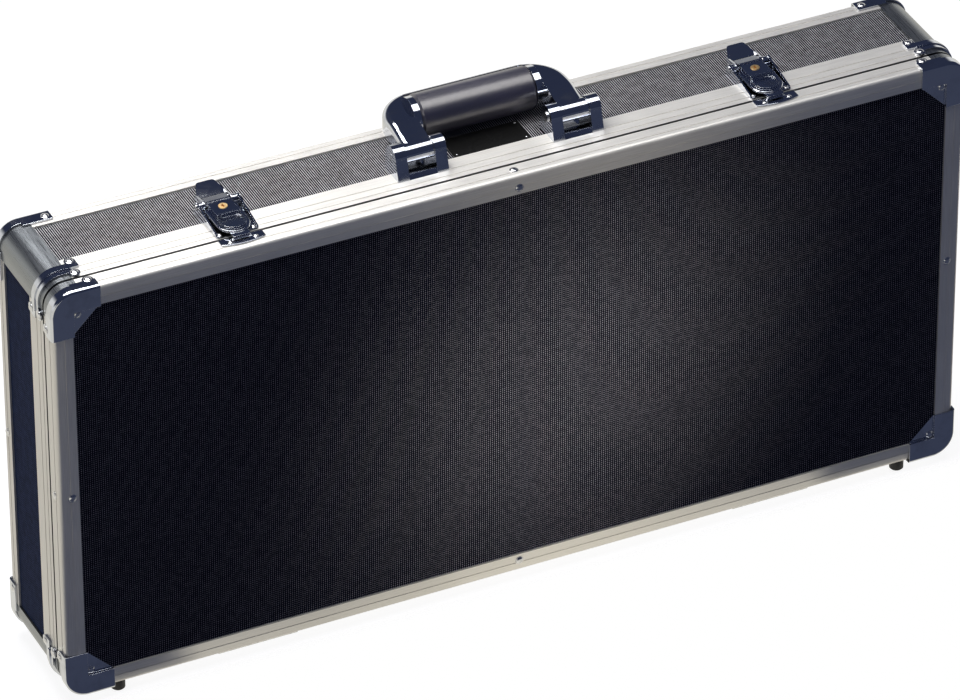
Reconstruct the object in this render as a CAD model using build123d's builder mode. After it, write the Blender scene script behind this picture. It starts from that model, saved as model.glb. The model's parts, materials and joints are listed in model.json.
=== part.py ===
from build123d import *
import os

# A guitar pedal case, closed and standing on its hinge side: a shallow lid in front (-Y) and
# a deeper tray behind it, both of black laminated panels in aluminium profiles. Millimetres.
# Places across the shell are given as an inset (inwards from its outer surface) and a depth
# (backwards from the lid's front face).

# Shell
case_length = 690.0
case_height = 332.0
case_depth = 98.0
parting_depth = 15.8
parting_gap = 2.0
corner_radius = 16.0
edge_radius = 3.2
skin = 1.5
slot_gap = 0.1
seat_gap = 0.1
groove_width = 0.9
groove_depth = 0.4

# Panels and profiles
wall_thickness = 4.0
lid_panel_thickness = 3.5
lid_face_width = 14.6
lid_bead_width = 8.0
lid_bead_slope = 0.9
lid_channel_floor = 2.6
lid_corner_rounding = 1.4
lid_groove_share = 0.42
rim_groove_shares = (0.2, 0.5)
edge_groove_share = 0.45
back_face_width = 14.0
rim_width = 23.0
back_side_width = 13.0
inner_leg = 1.3
inner_leg_depth = 15.0
rim_web = 2.0
post_reach = 22.0
post_slot_depth = 4.7
joint_gap = 0.1
tongue_thickness = 1.5
tongue_inset = 4.0
tongue_engagement = 2.0
tongue_room = 0.8

# Corner hardware, pressed from sheet
sheet = 1.4
cap_edge_radius = 2.5
cap_arm = 35.0
cap_arc_reach = 7.0
cap_leg_reach = 8.5
cap_lobe_inset = 30.0
cap_lobe_depth = 9.0
cap_lobe_radius = 4.1
cap_step = 0.8
back_cap_arm = 38.5
back_cap_leg_reach = 10.0
back_rivet_inset = 34.0
back_rivet_depth = 5.6
gusset_rivet_inset = 18.2
bracket_arc_front = 21.5
bracket_arc_back = 32.5
bracket_leg = 25.0
bracket_front_lobe = (25.5, 20.8)
bracket_back_lobe = (27.5, 34.4)
bracket_lobe_radius = 4.0
bracket_rib_depth = 27.0
bracket_rib_width = 2.4
bracket_rib_height = 0.8
arc_margin = 24.0

# Rivets
rivet_radius = 2.7
rivet_height = 1.2
small_rivet_radius = 1.6
small_rivet_height = 0.9
rivet_sides = 16
rivet_taper = 38
side_rivet_depth = 8.5
face_rivet_inset = 9.5
back_side_rivet_margin = 6.0

# Feet
foot_height = 8.5
foot_radius = 5.2
foot_tip_radius = 4.2
lid_foot_inset = 40.6
lid_foot_depth = 7.8
body_foot_inset = 45.0
body_foot_margin = 9.0
back_foot_inset = 44.0

# Hinges on the standing side
hinge_spacing = 400.0
hinge_length = 60.0
knuckle_count = 5
knuckle_radius = 3.0
knuckle_gap = 0.3
knuckle_lift = 0.15
leaf_thickness = 1.2
lid_leaf_width = 12.6
body_leaf_width = 20.0
hinge_pin_radius = 1.3
running_gap = 0.05

# Linings
tray_foam_thickness = 8.0
lid_foam_thickness = 9.0
foam_gap = 0.3

# Draw latches, measured from the top of the shell
latch_spacing = 403.0
latch_gap = 0.2
base_width = 31.2
base_front = 17.2
base_back = 57.5
base_corner = 1.6
base_plate = 1.2
base_wall = 1.3
base_wall_inset = 1.2
base_wall_front_height = 2.4
base_wall_front_length = 2.0
ear_depth = 52.0
ear_height = 5.5
ear_radius = 3.3
stub_radius = 1.5
stub_head_radius = 2.3
stub_head = 0.7
stub_inner_gap = 0.3
link_depth = 57.5
link_height = 4.5
link_pin_radius = 1.2
link_radius = 2.5
cheek_inner = 9.7
cheek_outer = 11.0
cheek_radius = 3.0
boss_radius = 2.7
flap_front = 60.8
flap_back = 73.5
flap_front_height = 4.1
flap_back_height = 8.4
flap_thickness = 1.4
flap_root_length = 3.2
flap_root_radius = 0.8
flap_shoulder = 1.5
flap_tip_half = 6.5
flap_rounding = 2.6
shield_half = 12.0
shield_front = 14.0
shield_back = 47.0
shield_bottom = 3.6
shield_thickness = 1.5
shield_chamfer = 0.5
platform_half = 8.6
platform_front = 32.2
platform_back = 51.0
platform_top = 8.1
neck_radius = 2.0
bar_width = 1.5
bar_height = 0.5
scoop_radius = 9.2
scoop_rim = 1.3
scoop_height = 1.5
scoop_floor = 0.5
hook_half = 6.5
hook_front = 9.9
hook_bottom = 2.6
hook_rounding = 2.0
lock_depth = 42.3
lock_radius = 3.2
lock_proud = 0.4
lock_bottom = 2.9
cam_thickness = 1.2
cam_length = 8.0
cam_width = 3.2
key_slot_length = 3.6
key_slot_width = 1.0
key_slot_depth = 2.5
catch_half = 16.3
catch_back_margin = 0.4
catch_end_front = 7.6
catch_mid_front = 4.7
catch_plate = 1.2
catch_ridge_half = 7.0
catch_ridge_front = 10.6
catch_ridge_width = 1.8
catch_ridge_height = 1.0
catch_ridge_taper = 15
catch_rivet_spacing = 18.6
catch_rivet_depth = 8.8
base_rivet_spacing = 25.2
base_rivet_depth = 20.0

# Handle, measured from the top of the shell
bracket_spacing = 117.4
bracket_width = 38.2
notch_width = 21.0
bracket_foot_front = 31.5
bracket_foot_back = 50.0
bracket_foot_edge = 1.0
bracket_sheet = 1.5
bracket_ear_radius = 8.0
bracket_bar_height = 3.6
bracket_bar_depth = 4.6
bracket_bar_lean = 0.8
pivot_depth = 39.7
pivot_height = 14.2
pivot_pin_radius = 2.5
pivot_head_radius = 3.7
pivot_head = 0.8
knuckle_barrel_radius = 7.0
knuckle_side_gap = 0.2
grip_depth = 75.6
grip_height = 16.6
grip_radius = 15.6
grip_length = 87.0
grip_chamfer = 1.8
grip_gap = 0.1
collar_recess = 0.8
bow_corner_radius = 29.0
bow_back = 95.5
bow_top = 25.6
bow_bottom = 15.0
bow_rounding = 5.0
arm_root = 6.6
arm_bend_depth = 59.5
arm_bend_bottom = 11.0
arm_bend_radius = 40.0
plate_reach = 1.5
plate_step = 3.5

# Name plate
plate_width = 58.0
plate_depth = 24.5
plate_thickness = 1.0
plate_corner = 0.6
plate_gap_to_rim = 1.0

# Places worked out from the sizes above
lid_depth = parting_depth - parting_gap / 2
rim_front = parting_depth + parting_gap / 2
rim_back = rim_front + rim_width
back_side_front = case_depth - back_side_width
panel_slot = wall_thickness + 2 * slot_gap
slot_inner = skin + panel_slot
leg_inner = slot_inner + inner_leg
wall_inset = skin + slot_gap
wall_front = rim_front + rim_web + slot_gap
back_slot_floor = case_depth - skin - panel_slot - inner_leg
wall_back = back_slot_floor - slot_gap - inner_leg / 2
post_slot_start = post_reach - post_slot_depth
lid_slot = lid_panel_thickness + 2 * slot_gap
lid_wall_inset = tongue_inset + tongue_thickness + tongue_room
lid_leg_inner = lid_wall_inset + skin
tongue_length = parting_gap + tongue_engagement
bottom = foot_height
top = bottom + case_height
middle = (bottom + top) / 2
half_length = case_length / 2
back_foot_seat = case_depth - skin - slot_gap
back_side_rivet_depth = case_depth - back_side_rivet_margin
body_foot_depth = case_depth - body_foot_margin
hinge_depth = parting_depth
hinge_drop = knuckle_radius + knuckle_lift
knuckle_pitch = hinge_length / knuckle_count
base_inner = base_width / 2 - base_wall
shield_nose = shield_front + shield_half
catch_back = lid_depth - catch_back_margin
barrel_half = notch_width / 2 - knuckle_side_gap
arm_inner = bracket_spacing / 2 - barrel_half
arm_outer = bracket_spacing / 2 + barrel_half
grip_seat = grip_length / 2 + grip_gap
spine_front = grip_depth + grip_radius + 2 * grip_gap
front_reach = seat_gap + sheet
back_reach = back_foot_seat + foot_height - case_depth
front = -(case_depth + back_reach - front_reach) / 2
back = front + case_depth
profile_length = {
    "top": case_length - 2 * (post_reach + joint_gap),
    "bottom": case_length - 2 * (post_reach + joint_gap),
    "left": case_height - 2 * (post_reach + joint_gap),
    "right": case_height - 2 * (post_reach + joint_gap),
}
middle_plane = Plane.XY.offset(middle)
depth_plane = Plane(origin=(0, front + case_depth / 2, 0), z_dir=(0, 1, 0))

# Section planes of the four sides: x is the inset, y the depth, z runs along the side
side_plane = {
    "top": Plane(origin=(0, front, top), x_dir=(0, 0, -1), z_dir=(1, 0, 0)),
    "bottom": Plane(origin=(0, front, bottom), x_dir=(0, 0, 1), z_dir=(-1, 0, 0)),
    "left": Plane(origin=(-half_length, front, middle), x_dir=(1, 0, 0), z_dir=(0, 0, 1)),
    "right": Plane(origin=(half_length, front, middle), x_dir=(-1, 0, 0), z_dir=(0, 0, -1)),
}
sides = list(side_plane)
corners = [(level, side) for level in ("top", "bottom") for side in ("left", "right")]
latch_centres = (-latch_spacing / 2, latch_spacing / 2)
bracket_centres = (-bracket_spacing / 2, bracket_spacing / 2)
hinge_centres = (-hinge_spacing / 2, hinge_spacing / 2)

os.makedirs("parts", exist_ok=True)


def save(piece, name):
    """Label a finished piece and write it as its own STEP file."""
    piece.label = name
    export_step(piece, f"parts/{name}.step")


def corner_plane(depth):
    """Plane at the top left corner and the given depth: x and y are the two insets."""
    return Plane(origin=(-half_length, front + depth, top), x_dir=(0, 0, -1), z_dir=(0, -1, 0))


def leg_planes():
    """The top and the left leg of that corner: x runs away from the corner, y is the depth."""
    corner = (-half_length, front, top)
    return [
        (Plane(origin=corner, x_dir=(1, 0, 0), z_dir=(0, 0, 1)), 1),
        (Plane(origin=corner, x_dir=(0, 0, -1), z_dir=(1, 0, 0)), -1),
    ]


def move_to_corner(level, side, at_back=False):
    """Mirror the piece in hand, drawn at the front top left corner, to its own corner."""
    if side == "right":
        mirror(about=Plane.YZ, mode=Mode.REPLACE)
    if level == "bottom":
        mirror(about=middle_plane, mode=Mode.REPLACE)
    if at_back:
        mirror(about=depth_plane, mode=Mode.REPLACE)


def corner_band(outer, inner, reach):
    """Face of a band that follows the rounded corner from one inset to another."""
    r = corner_radius
    rounded_inside = inner < r / 2
    turn = r if rounded_inside else inner
    with BuildSketch() as band:
        with BuildLine():
            Line((reach, outer), (r, outer))
            CenterArc((r, r), r - outer, 180, 90)
            Line((outer, r), (outer, reach))
            Line((outer, reach), (inner, reach))
            Line((inner, reach), (inner, turn))
            if rounded_inside:
                CenterArc((r, r), r - inner, 180, 90)
            Line((turn, inner), (reach, inner))
            Line((reach, inner), (reach, outer))
        make_face()
    return band.sketch


def grooves(depths):
    """Fine lines pressed along the outer face of a profile."""
    for depth in depths:
        with Locations((0, depth)):
            Rectangle(2 * groove_depth, groove_width, mode=Mode.SUBTRACT)


def body_rim(side):
    """Front profile of the tray: it slots the wall and carries the closing tongue."""
    with BuildPart() as rim:
        with BuildSketch(side_plane[side]):
            with BuildLine():
                Polyline(
                    (0, rim_front), (tongue_inset, rim_front),
                    (tongue_inset, rim_front - tongue_length),
                    (tongue_inset + tongue_thickness, rim_front - tongue_length),
                    (tongue_inset + tongue_thickness, rim_front), (leg_inner, rim_front),
                    (leg_inner, rim_front + inner_leg_depth),
                    (slot_inner, rim_front + inner_leg_depth),
                    (slot_inner, rim_front + rim_web), (skin, rim_front + rim_web),
                    (skin, rim_back), (0, rim_back), close=True)
            make_face()
            grooves(rim_front + share * rim_width for share in rim_groove_shares)
        extrude(amount=profile_length[side] / 2, both=True)
    save(rim.part, f"body_rim_{side}")


def body_edge(side):
    """Back corner profile: a hollow chamber with one slot for the wall and one for the back."""
    with BuildPart() as edge:
        with BuildSketch(side_plane[side]) as section:
            with BuildLine():
                Polyline(
                    (0, back_side_front), (0, case_depth), (back_face_width, case_depth),
                    (back_face_width, case_depth - skin), (leg_inner, case_depth - skin),
                    (leg_inner, back_slot_floor + inner_leg),
                    (back_face_width, back_slot_floor + inner_leg),
                    (back_face_width, back_slot_floor), (leg_inner, back_slot_floor),
                    (leg_inner, back_side_front), (slot_inner, back_side_front),
                    (slot_inner, back_slot_floor), (skin, back_slot_floor),
                    (skin, back_side_front), close=True)
            make_face()
            fillet(section.vertices().sort_by_distance((0, case_depth))[0], edge_radius)
            chamber = (skin, leg_inner - inner_leg, back_slot_floor + inner_leg, case_depth - skin)
            with Locations(((chamber[0] + chamber[1]) / 2, (chamber[2] + chamber[3]) / 2)):
                Rectangle(chamber[1] - chamber[0], chamber[3] - chamber[2], mode=Mode.SUBTRACT)
            grooves([back_side_front + edge_groove_share * back_side_width])
        extrude(amount=profile_length[side] / 2, both=True)
    save(edge.part, f"body_edge_{side}")


def lid_frame(side):
    """Lid profile: sloped bead, face flange, panel slot and a channel that takes the tongue."""
    leg_end = skin + lid_slot + inner_leg
    with BuildPart() as frame:
        with BuildSketch(side_plane[side]) as section:
            with BuildLine():
                Polyline(
                    (0, lid_bead_slope), (lid_bead_width, 0), (lid_face_width, 0),
                    (lid_face_width, skin), (lid_leg_inner, skin), (lid_leg_inner, skin + lid_slot),
                    (lid_face_width, skin + lid_slot), (lid_face_width, leg_end),
                    (lid_leg_inner, leg_end), (lid_leg_inner, lid_depth),
                    (lid_wall_inset, lid_depth), (lid_wall_inset, lid_channel_floor),
                    (skin, lid_channel_floor), (skin, lid_depth), (0, lid_depth), close=True)
            make_face()
            fillet(section.vertices().sort_by_distance((0, 0))[0], edge_radius)
            grooves([lid_groove_share * lid_depth])
            with Locations((lid_bead_width, 0)):
                Rectangle(groove_width, 2 * groove_depth, mode=Mode.SUBTRACT)
        extrude(amount=profile_length[side] / 2, both=True)
    save(frame.part, f"lid_frame_{side}")


def body_wall(side):
    """Side wall panel, slotted into the rim, the back profile and two corner posts."""
    run = profile_length[side] + 2 * (joint_gap + post_slot_depth - slot_gap)
    with BuildPart() as wall:
        with BuildSketch(side_plane[side]):
            with Locations((wall_inset + wall_thickness / 2, (wall_front + wall_back) / 2)):
                Rectangle(wall_thickness, wall_back - wall_front)
        extrude(amount=run / 2, both=True)
    save(wall.part, f"body_wall_{side}")


def face_panel(name, inset, depth, thickness):
    """Large panel square to Y, held in slots at the given inset."""
    with BuildPart() as panel:
        plane = Plane(origin=(0, front + depth, middle), x_dir=(1, 0, 0), z_dir=(0, 1, 0))
        with BuildSketch(plane):
            Rectangle(case_length - 2 * inset, case_height - 2 * inset)
        extrude(amount=thickness)
    save(panel.part, name)


def corner_posts():
    """Quarter-round aluminium posts that join the tray's walls, one at each corner."""
    posts = []
    band = corner_band(0, skin, post_reach)
    for level, side in corners:
        with BuildPart() as post:
            with BuildSketch(corner_plane(rim_front)):
                add(band)
                with BuildLine():
                    Polyline(
                        (slot_inner, slot_inner), (post_reach, slot_inner),
                        (post_reach, leg_inner), (leg_inner, leg_inner),
                        (leg_inner, post_reach), (slot_inner, post_reach), close=True)
                make_face()
                web = ((skin + slot_inner) / 2, post_slot_start - skin / 2)
                with Locations(web):
                    Rectangle(panel_slot, skin)
                with Locations((web[1], web[0])):
                    Rectangle(skin, panel_slot)
            extrude(amount=-(case_depth - rim_front))
            move_to_corner(level, side)
        posts.append(post.part)
    save(Compound(children=posts), "body_corner_posts")


def lid_corners():
    """Short rounded corners of the lid, between its four profiles."""
    pieces = []
    face_band = corner_band(0, lid_face_width, post_reach)
    side_band = corner_band(0, skin, post_reach)
    for level, side in corners:
        with BuildPart() as piece:
            with BuildSketch(corner_plane(0)):
                add(face_band)
            extrude(amount=-skin)
            rounded = piece.edges().filter_by(lambda e: abs(e.center().Y - front) < skin / 10)
            rim_edges = [e for e in rounded if on_outer_corner(e)]
            fillet(rim_edges, lid_corner_rounding)
            with BuildSketch(corner_plane(lid_corner_rounding)):
                add(side_band)
            extrude(amount=-(lid_depth - lid_corner_rounding))
            with BuildSketch(corner_plane(skin)):
                with BuildLine():
                    Polyline(
                        (lid_wall_inset, lid_wall_inset), (post_reach, lid_wall_inset),
                        (post_reach, lid_leg_inner), (lid_leg_inner, lid_leg_inner),
                        (lid_leg_inner, post_reach), (lid_wall_inset, post_reach), close=True)
                make_face()
            extrude(amount=-(lid_depth - skin))
            move_to_corner(level, side)
        pieces.append(piece.part)
    save(Compound(children=pieces), "lid_corner_pieces")


def on_outer_corner(edge, inset=0.0):
    """True for an edge that runs along the outer rounded corner at the given inset."""
    centre = edge.center()
    across = centre.X + half_length - inset
    down = top - inset - centre.Z
    reach = corner_radius - inset
    on_leg = min(abs(across), abs(down)) < 0.01
    arc_distance = ((reach - across) ** 2 + (reach - down) ** 2) ** 0.5
    on_arc = across < reach and down < reach and arc_distance > reach * 0.85
    return on_leg or on_arc


def edge_cap(name, level, side, arm, leg_reach, at_back):
    """Pressed corner cap: an L on the face with a sunk gusset, wrapped round the corner."""
    outer = -(seat_gap + sheet)
    face_band = corner_band(outer, lid_face_width + cap_step, arm)
    side_band = corner_band(outer, -seat_gap, arc_margin)
    with BuildPart() as cap:
        with BuildSketch(corner_plane(outer)):
            add(face_band)
        extrude(amount=-sheet)
        with BuildSketch(corner_plane(outer)):
            add(side_band)
        extrude(amount=-(cap_arc_reach - outer))
        for plane, outward in leg_planes():
            with BuildSketch(plane.offset(outward * seat_gap)):
                leg_outline(outer, arm, leg_reach, at_back)
            extrude(amount=outward * sheet)
        face_edges = [e for e in cap.edges() if abs(e.center().Y - front - outer) < 0.01]
        fillet([e for e in face_edges if on_outer_corner(e, outer)], cap_edge_radius)
        with BuildSketch(corner_plane(outer)):
            step = lid_face_width + slot_gap
            with BuildLine():
                Polyline((step, step), (arm, step), (step, arm), close=True)
            make_face()
        extrude(amount=outer - skin)
        with BuildSketch(corner_plane(outer)):
            floor = lid_face_width + cap_step
            with BuildLine():
                Polyline((floor, floor), (arm, floor), (floor, arm), close=True)
            make_face()
        extrude(amount=outer - skin + cap_step, mode=Mode.SUBTRACT)
        move_to_corner(level, side, at_back)
    save(cap.part, name)


def leg_outline(face, arm, leg_reach, at_back):
    """Outline of a cap's leg on the side of the case, with a rivet lobe on the lid's caps."""
    start = corner_radius
    with Locations(((start + arm) / 2, (face + leg_reach) / 2)):
        Rectangle(arm - start, leg_reach - face)
    if not at_back:
        with Locations((cap_lobe_inset, cap_lobe_depth)):
            Circle(cap_lobe_radius)
        with Locations((cap_lobe_inset, (leg_reach + cap_lobe_depth) / 2)):
            Rectangle(2 * cap_lobe_radius, cap_lobe_depth - leg_reach)


def corner_bracket(level, side):
    """Two-lobed band round the tray's corner, with a pressed rib along its middle."""
    outer = -(seat_gap + sheet)
    band = corner_band(outer, -seat_gap, bracket_leg)
    rib = corner_band(outer - bracket_rib_height, outer, bracket_leg)
    with BuildPart() as bracket:
        with BuildSketch(corner_plane(bracket_arc_front)):
            add(band)
        extrude(amount=-(bracket_arc_back - bracket_arc_front))
        with BuildSketch(corner_plane(bracket_rib_depth - bracket_rib_width / 2)):
            add(rib)
        extrude(amount=-bracket_rib_width)
        for plane, outward in leg_planes():
            with BuildSketch(plane.offset(outward * seat_gap)):
                for lobe, join in (
                    (bracket_front_lobe, bracket_arc_front),
                    (bracket_back_lobe, bracket_arc_back),
                ):
                    with Locations(lobe):
                        Circle(bracket_lobe_radius)
                    with Locations((lobe[0], (lobe[1] + join) / 2)):
                        Rectangle(2 * bracket_lobe_radius, abs(lobe[1] - join))
                end = bracket_back_lobe[0]
                with Locations((end, (bracket_rib_depth + bracket_arc_back) / 2)):
                    Rectangle(2 * bracket_lobe_radius, bracket_arc_back - bracket_rib_depth)
            extrude(amount=outward * sheet)
        move_to_corner(level, side)
    save(bracket.part, f"corner_bracket_{level}_{side}")


def rivet_head(plane, radius=rivet_radius, height=rivet_height):
    """Raised rivet head that sits on the given plane."""
    with BuildPart() as rivet:
        with BuildSketch(plane):
            RegularPolygon(radius, rivet_sides)
        extrude(amount=height, taper=rivet_taper)
    return rivet.part


def side_point(side, along, depth, proud):
    """Plane on the outside of one side, at a place along it and a depth."""
    base = side_plane[side]
    sign = {"top": 1, "bottom": -1, "left": 1, "right": -1}[side]
    origin = base.from_local_coords(Vector(-proud, depth, sign * along))
    return Plane(origin=origin, z_dir=-base.x_dir)


def side_rivets(side, inset, depth, proud):
    """One rivet near each end of a side."""
    half = (case_length if side in ("top", "bottom") else case_height) / 2
    return [rivet_head(side_point(side, s * (half - inset), depth, proud)) for s in (-1, 1)]


def face_rivets(depth, outward, inset):
    """One rivet in each corner of the front or back face."""
    return [
        rivet_head(Plane(
            origin=(sx * (half_length - inset), front + depth, middle + sz * (case_height / 2 - inset)),
            z_dir=(0, outward, 0)))
        for sx in (-1, 1) for sz in (-1, 1)
    ]


def latch_rivets(spacing, depth, height):
    """A pair of small rivets at each latch."""
    return [
        rivet_head(
            Plane(origin=(x + s * spacing / 2, front + depth, top + height)),
            small_rivet_radius, small_rivet_height)
        for x in latch_centres for s in (-1, 1)
    ]


def body_rivets():
    """Every rivet of the tray: corners, latch bases and the middle of three sides."""
    proud = seat_gap + sheet
    heads = []
    for side in sides:
        heads += side_rivets(side, bracket_front_lobe[0], bracket_front_lobe[1], proud)
        heads += side_rivets(side, bracket_back_lobe[0], bracket_back_lobe[1], proud)
        heads += side_rivets(side, back_rivet_inset, case_depth - back_rivet_depth, proud)
        if side != "top":
            heads.append(rivet_head(side_point(side, 0, back_side_rivet_depth, 0)))
    heads += face_rivets(case_depth + cap_step - skin, 1, gusset_rivet_inset)
    heads += latch_rivets(base_rivet_spacing, base_rivet_depth, base_plate)
    save(Compound(children=heads), "body_rivets")


def lid_rivets():
    """Every rivet of the lid: corners, catches and the middle of each side."""
    heads = []
    for side in sides:
        heads += side_rivets(side, cap_lobe_inset, cap_lobe_depth, seat_gap + sheet)
        heads.append(rivet_head(side_point(side, 0, side_rivet_depth, 0)))
    heads += face_rivets(skin - cap_step, -1, gusset_rivet_inset)
    for sx, sz in ((-1, 0), (1, 0), (0, -1), (0, 1)):
        x = sx * (half_length - face_rivet_inset)
        z = middle + sz * (case_height / 2 - face_rivet_inset)
        heads.append(rivet_head(Plane(origin=(x, front, z), z_dir=(0, -1, 0))))
    heads += latch_rivets(catch_rivet_spacing, catch_rivet_depth, catch_plate)
    save(Compound(children=heads), "lid_rivets")


def foot(plane):
    """Rubber foot with a narrower flat tip, standing out from the given plane."""
    with BuildPart() as rubber:
        with BuildSketch(plane):
            Circle(foot_radius)
        extrude(amount=foot_height)
        tip = rubber.faces().sort_by(lambda f: (f.center() - plane.origin).dot(plane.z_dir))[-1]
        chamfer(tip.edges(), foot_radius - foot_tip_radius)
    return rubber.part


def feet():
    """Two feet under the lid and two under the tray to stand on, and four on the back."""
    def standing(inset, depth):
        return [
            foot(Plane(origin=(sx * (half_length - inset), front + depth, bottom),
                       z_dir=(0, 0, -1)))
            for sx in (-1, 1)
        ]
    save(Compound(children=standing(lid_foot_inset, lid_foot_depth)), "lid_feet")
    behind = [
        foot(Plane(
            origin=(sx * (half_length - back_foot_inset), front + back_foot_seat,
                    middle + sz * (case_height / 2 - back_foot_inset)),
            z_dir=(0, 1, 0)))
        for sx in (-1, 1) for sz in (-1, 1)
    ]
    save(Compound(children=standing(body_foot_inset, body_foot_depth) + behind), "body_feet")


def hinge_leaf(x, width, direction, first):
    """Flat leaf on the underside with every other knuckle of the barrel."""
    axis = Plane(origin=(x, front + hinge_depth, bottom - hinge_drop), x_dir=(0, 1, 0), z_dir=(1, 0, 0))
    with BuildPart() as leaf:
        with BuildSketch(axis):
            reach = knuckle_radius + knuckle_gap
            with Locations((direction * (reach + width) / 2, hinge_drop - leaf_thickness / 2)):
                Rectangle(width - reach, leaf_thickness)
        extrude(amount=hinge_length / 2, both=True)
        for index in range(first, knuckle_count, 2):
            start = index * knuckle_pitch - hinge_length / 2 + knuckle_gap / 2
            with BuildSketch(axis.offset(start)):
                Circle(knuckle_radius)
                with Locations((direction * width / 4, hinge_drop - leaf_thickness / 2)):
                    Rectangle(width / 2, leaf_thickness)
                with Locations((0, hinge_drop)):
                    Rectangle(2 * knuckle_radius, 2 * knuckle_lift, mode=Mode.SUBTRACT)
            extrude(amount=knuckle_pitch - knuckle_gap)
        with BuildSketch(axis):
            Circle(hinge_pin_radius + running_gap)
        extrude(amount=hinge_length / 2, both=True, mode=Mode.SUBTRACT)
    return leaf.part


def hinges():
    """Two butt hinges on the standing side, each with its pin."""
    pins = []
    for x in hinge_centres:
        axis = Plane(origin=(x, front + hinge_depth, bottom - hinge_drop), z_dir=(1, 0, 0))
        with BuildPart() as pin:
            with BuildSketch(axis):
                Circle(hinge_pin_radius)
            extrude(amount=hinge_length / 2, both=True)
        pins.append(pin.part)
    lid_leaves = [hinge_leaf(x, lid_leaf_width, -1, 1) for x in hinge_centres]
    body_leaves = [hinge_leaf(x, body_leaf_width, 1, 0) for x in hinge_centres]
    save(Compound(children=lid_leaves), "hinge_lid_leaves")
    save(Compound(children=body_leaves), "hinge_body_leaves")
    save(Compound(children=pins), "hinge_pins")


def linings():
    """Foam in the lid and on the tray's floor."""
    inset = back_face_width + foam_gap
    floor = back_slot_floor + inner_leg + slot_gap - foam_gap
    face_panel("tray_foam", inset, floor - tray_foam_thickness, tray_foam_thickness)
    inset = lid_face_width + foam_gap
    face_panel("lid_foam", inset, skin + lid_slot + foam_gap, lid_foam_thickness)


def name_plate():
    """Plain plate between the handle's brackets."""
    depth = rim_back + plate_gap_to_rim + plate_depth / 2
    with BuildPart() as plate:
        with BuildSketch(Plane(origin=(0, front + depth, top - wall_inset))):
            RectangleRounded(plate_width, plate_depth, plate_corner)
        extrude(amount=plate_thickness)
    save(plate.part, "name_plate")


def above(x, height=0.0):
    """Plane parallel to the top of the shell, centred at x: its y is the depth."""
    return Plane(origin=(x, front, top + height))


def across(x):
    """Plane square to X at x: its x is the depth and its y the height above the shell."""
    return Plane(origin=(x, front, top), x_dir=(0, 1, 0), z_dir=(1, 0, 0))


def latch_base(x, name):
    """Channel riveted to the tray, whose two walls rise to the ears of the lever."""
    wall_front = base_front + base_wall_inset
    wall_end = base_back - base_wall_inset
    skirt_front = rim_back + joint_gap
    with BuildPart() as base:
        with BuildSketch(above(x)):
            with Locations((0, (base_front + base_back) / 2)):
                RectangleRounded(base_width, base_back - base_front, base_corner)
        extrude(amount=base_plate)
        for start in (-base_width / 2, base_inner):
            with BuildSketch(across(x + start)):
                with Locations((ear_depth, ear_height)):
                    Circle(ear_radius)
                with Locations(((wall_front + wall_end) / 2, base_plate / 2)):
                    Rectangle(wall_end - wall_front, base_plate)
                with Locations((wall_front + base_wall_front_length, base_wall_front_height / 2)):
                    Rectangle(base_wall_front_length, base_wall_front_height)
                make_hull()
            extrude(amount=base_wall)
            with BuildSketch(across(x + start)):
                with Locations(((skirt_front + wall_end) / 2, 0)):
                    Rectangle(wall_end - skirt_front, 2 * skin)
            extrude(amount=base_wall)
        with BuildSketch(across(x)):
            with Locations((ear_depth, ear_height)):
                Circle(stub_radius + slot_gap / 2)
        extrude(amount=base_width, both=True, mode=Mode.SUBTRACT)
    save(base.part, name)


def lever_stubs():
    """Short headed pins that carry both levers in the ears of their bases."""
    start = cheek_inner + stub_inner_gap
    end = base_width / 2 + slot_gap
    stubs = []
    for x in latch_centres:
        for direction in (-1, 1):
            with BuildPart() as stub:
                with BuildSketch(across(x + direction * start)):
                    with Locations((ear_depth, ear_height)):
                        Circle(stub_radius)
                extrude(amount=direction * (end - start))
                with BuildSketch(across(x + direction * end)):
                    with Locations((ear_depth, ear_height)):
                        Circle(stub_head_radius)
                extrude(amount=direction * stub_head)
            stubs.append(stub.part)
    save(Compound(children=stubs), "latch_lever_stubs")


def hull_of(*rounds):
    """Hull of circles, each given as its depth, height and radius."""
    for depth, height, radius in rounds:
        with Locations((depth, height)):
            Circle(radius)
    make_hull()


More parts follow.
